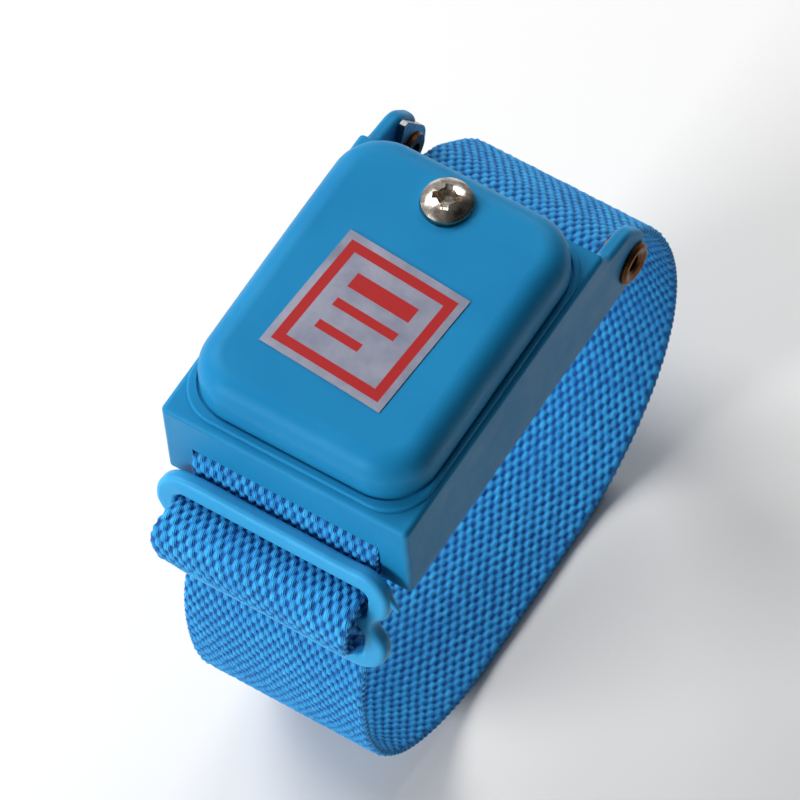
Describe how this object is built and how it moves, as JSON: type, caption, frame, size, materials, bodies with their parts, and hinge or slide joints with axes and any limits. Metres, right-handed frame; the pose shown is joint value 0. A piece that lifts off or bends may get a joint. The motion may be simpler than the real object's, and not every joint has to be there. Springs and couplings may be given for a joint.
{
  "type": "esd wrist strap",
  "caption": "Worn earthing wrist strap: moulded box with raised cover and earth screw, hinged steel clasp plate, knitted elastic band and three-bar slider.",
  "frame": {"origin": "middle of the box's width, on the outer face of the clasp plate that lies against the skin, with y = 0 near the middle of the box", "axes": "+X across the band's width, +Y along the band from the slider end towards the hinge, +Z out of the wrist through the cover"},
  "size_m": [0.0356, 0.0756, 0.0765],
  "materials": {
    "blue_plastic": "satin",
    "slider_plastic": "satin, slightly translucent",
    "blue_elastic": "coarse woven elastic",
    "stainless": "brushed",
    "nickel": "polished",
    "aged_brass": "dull",
    "zinc_steel": "bright zinc",
    "spring_steel": "bright",
    "foil": "satin foil with a red printed border",
    "tinned_copper": "tinned",
    "resistor_coat": "lacquered with colour bands",
    "thread": "twisted thread"
  },
  "bodies": {
    "housing": {"base_housing": "blue_plastic", "top_cover": "blue_plastic", "label_foil": "foil", "earth_screw": "nickel", "solder_tag": "tinned_copper", "lock_washer": "zinc_steel", "hex_nut": "zinc_steel", "resistor_body": "resistor_coat", "lead_to_spring": "tinned_copper", "lead_to_tag": "tinned_copper", "spring_cap": "aged_brass", "contact_spring": "spring_steel", "band_pin": "spring_steel", "hinge_eyelets": "aged_brass", "band_loop": "blue_elastic", "band_adjust_run": "blue_elastic", "band_upper_run": "blue_elastic", "band_pin_turn": "blue_elastic", "band_return_run": "blue_elastic"},
    "clasp": {"clasp_plate": "stainless"},
    "slider": {"tri_glide_slider": "slider_plastic", "band_crest": "blue_elastic", "band_sewn_end": "blue_elastic", "stitching": "thread"}
  },
  "joints": [
    {"name": "clasp_hinge", "type": "hinge", "parent": "housing", "child": "clasp", "pos_m": [0, 0.0286, 0.0046], "axis": [1, 0, 0], "range_deg": [0, 80]},
    {"name": "slider_slide", "type": "slide", "parent": "housing", "child": "slider", "axis": [0, -0.212, -0.9773], "range_m": [0, 0.006], "deforming": ["band_upper_run", "band_return_run", "band_adjust_run"]}
  ]
}
